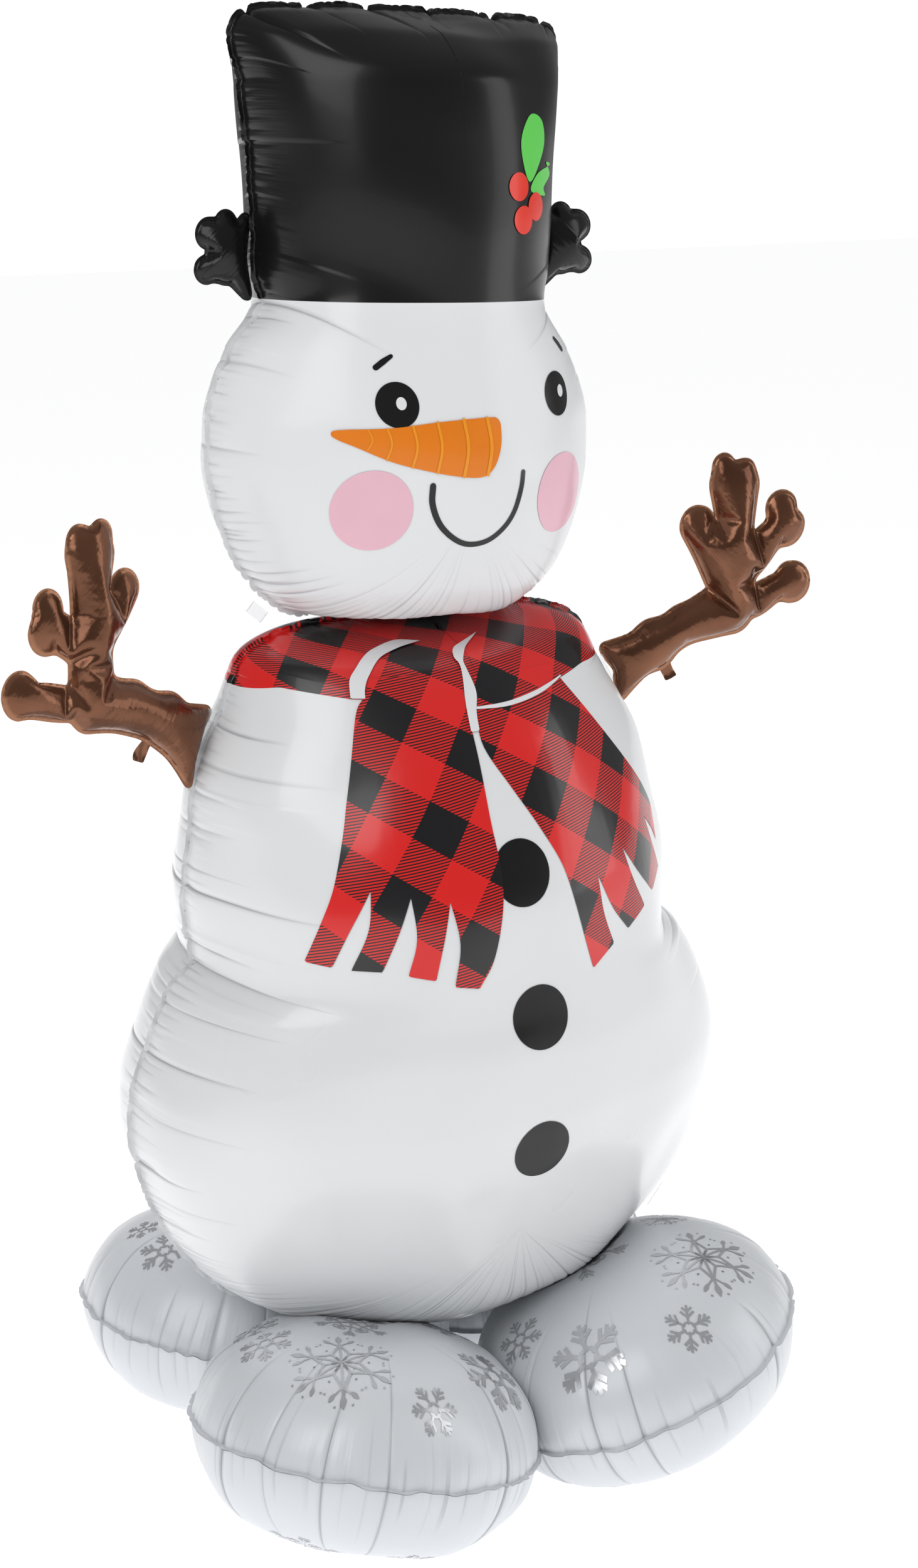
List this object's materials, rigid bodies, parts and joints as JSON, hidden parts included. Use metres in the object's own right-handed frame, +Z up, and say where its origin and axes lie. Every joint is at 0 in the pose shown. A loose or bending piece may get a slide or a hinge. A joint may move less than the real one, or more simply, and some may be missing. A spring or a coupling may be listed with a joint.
{
  "type": "inflatable snowman",
  "caption": "Air-filled foil snowman with a top hat and twig arms, standing on round foil pouches; head, arms and brim lobes flex at their seams.",
  "frame": {"origin": "on the floor, under the middle of the figure", "axes": "+Z up, -Y the way the face looks, +X towards its left hand (the viewer's right)"},
  "size_m": [0.8554, 0.6485, 1.4189],
  "materials": {
    "white_foil": "satin gloss printed foil",
    "black_foil": "glossy printed foil",
    "brown_foil": "metallic printed foil",
    "pearl_foil": "pearl satin foil with metallic print",
    "clear_film": "thin translucent film"
  },
  "bodies": {
    "torso": {"body_front_panel": "white_foil", "body_back_panel": "white_foil", "neck_weld_strip": "clear_film", "body_inflation_tail": "clear_film", "left_arm_root_tab": "clear_film", "right_arm_root_tab": "clear_film", "body_base_tab": "clear_film", "base_web": "pearl_foil", "front_left_pouch_upper_panel": "pearl_foil", "front_left_pouch_lower_panel": "pearl_foil", "front_left_pouch_weld_tab": "clear_film", "front_right_pouch_upper_panel": "pearl_foil", "front_right_pouch_lower_panel": "pearl_foil", "front_right_pouch_weld_tab": "clear_film", "back_left_pouch_upper_panel": "pearl_foil", "back_left_pouch_lower_panel": "pearl_foil", "back_left_pouch_weld_tab": "clear_film", "back_right_pouch_upper_panel": "pearl_foil", "back_right_pouch_lower_panel": "pearl_foil", "back_right_pouch_weld_tab": "clear_film"},
    "head": {"head_front_panel": "white_foil", "head_back_panel": "white_foil", "head_inflation_tail": "clear_film"},
    "left_arm": {"left_arm_front_panel": "brown_foil", "left_arm_back_panel": "brown_foil", "left_arm_inflation_tail": "brown_foil"},
    "right_arm": {"right_arm_front_panel": "brown_foil", "right_arm_back_panel": "brown_foil", "right_arm_inflation_tail": "brown_foil"},
    "left_brim": {"left_brim_front_panel": "black_foil", "left_brim_back_panel": "black_foil"},
    "right_brim": {"right_brim_front_panel": "black_foil", "right_brim_back_panel": "black_foil"}
  },
  "joints": [
    {"name": "head_nod", "type": "hinge", "parent": "torso", "child": "head", "pos_m": [0, 0, 0.876], "axis": [1, 0, 0], "range_deg": [-8, 8], "stiffness_Nm_per_rad": 2},
    {"name": "left_arm_swing", "type": "hinge", "parent": "torso", "child": "left_arm", "pos_m": [-0.23069, -0.00233, 0.777], "axis": [0.4807, 0.1288, 0.8674], "range_deg": [-35, 25], "stiffness_Nm_per_rad": 0.15},
    {"name": "right_arm_swing", "type": "hinge", "parent": "torso", "child": "right_arm", "pos_m": [0.23069, -0.00233, 0.777], "axis": [0.4807, -0.1288, -0.8674], "range_deg": [-35, 25], "stiffness_Nm_per_rad": 0.15},
    {"name": "left_brim_flap", "type": "hinge", "parent": "head", "child": "left_brim", "pos_m": [-0.15505, 0, 1.21833], "axis": [0.0349, 0, 0.9994], "range_deg": [-25, 25], "stiffness_Nm_per_rad": 0.005},
    {"name": "right_brim_flap", "type": "hinge", "parent": "head", "child": "right_brim", "pos_m": [0.14556, 0, 1.20783], "axis": [-0.0349, 0, -0.9994], "range_deg": [-25, 25], "stiffness_Nm_per_rad": 0.005}
  ]
}
